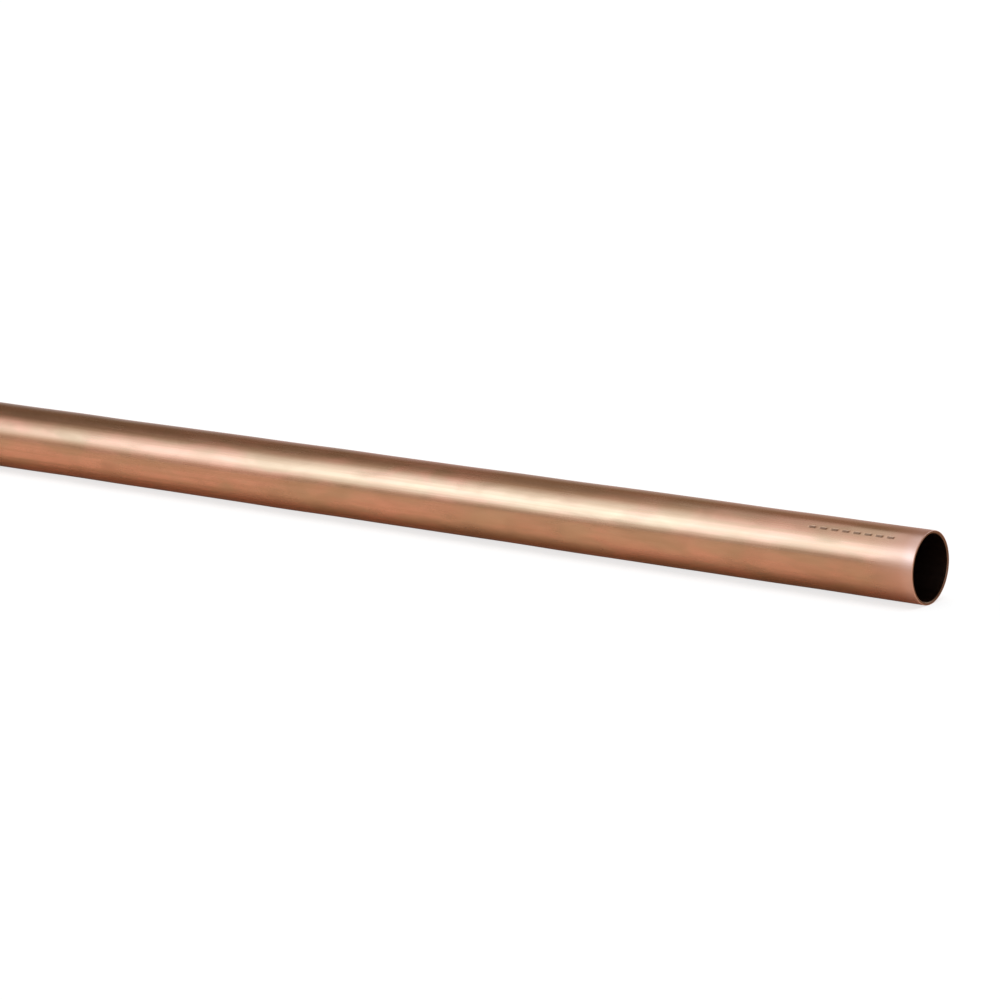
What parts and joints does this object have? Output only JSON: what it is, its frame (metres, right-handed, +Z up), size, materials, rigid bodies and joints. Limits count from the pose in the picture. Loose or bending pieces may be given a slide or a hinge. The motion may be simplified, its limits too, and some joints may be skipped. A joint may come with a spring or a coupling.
{
  "type": "copper pipe length",
  "caption": "Straight round copper pipe with a thin wall, an open bore and square-cut, deburred ends that slip into solder or compression fittings.",
  "frame": {"origin": "on the floor, straight under the middle of the pipe's length", "axes": "+X along the pipe towards the end shown in the picture, +Y square to it along the floor, +Z up"},
  "size_m": [1, 0.022, 0.022],
  "materials": {
    "copper": "satin"
  },
  "bodies": {
    "root": {"copper_pipe": "copper"}
  },
  "joints": []
}
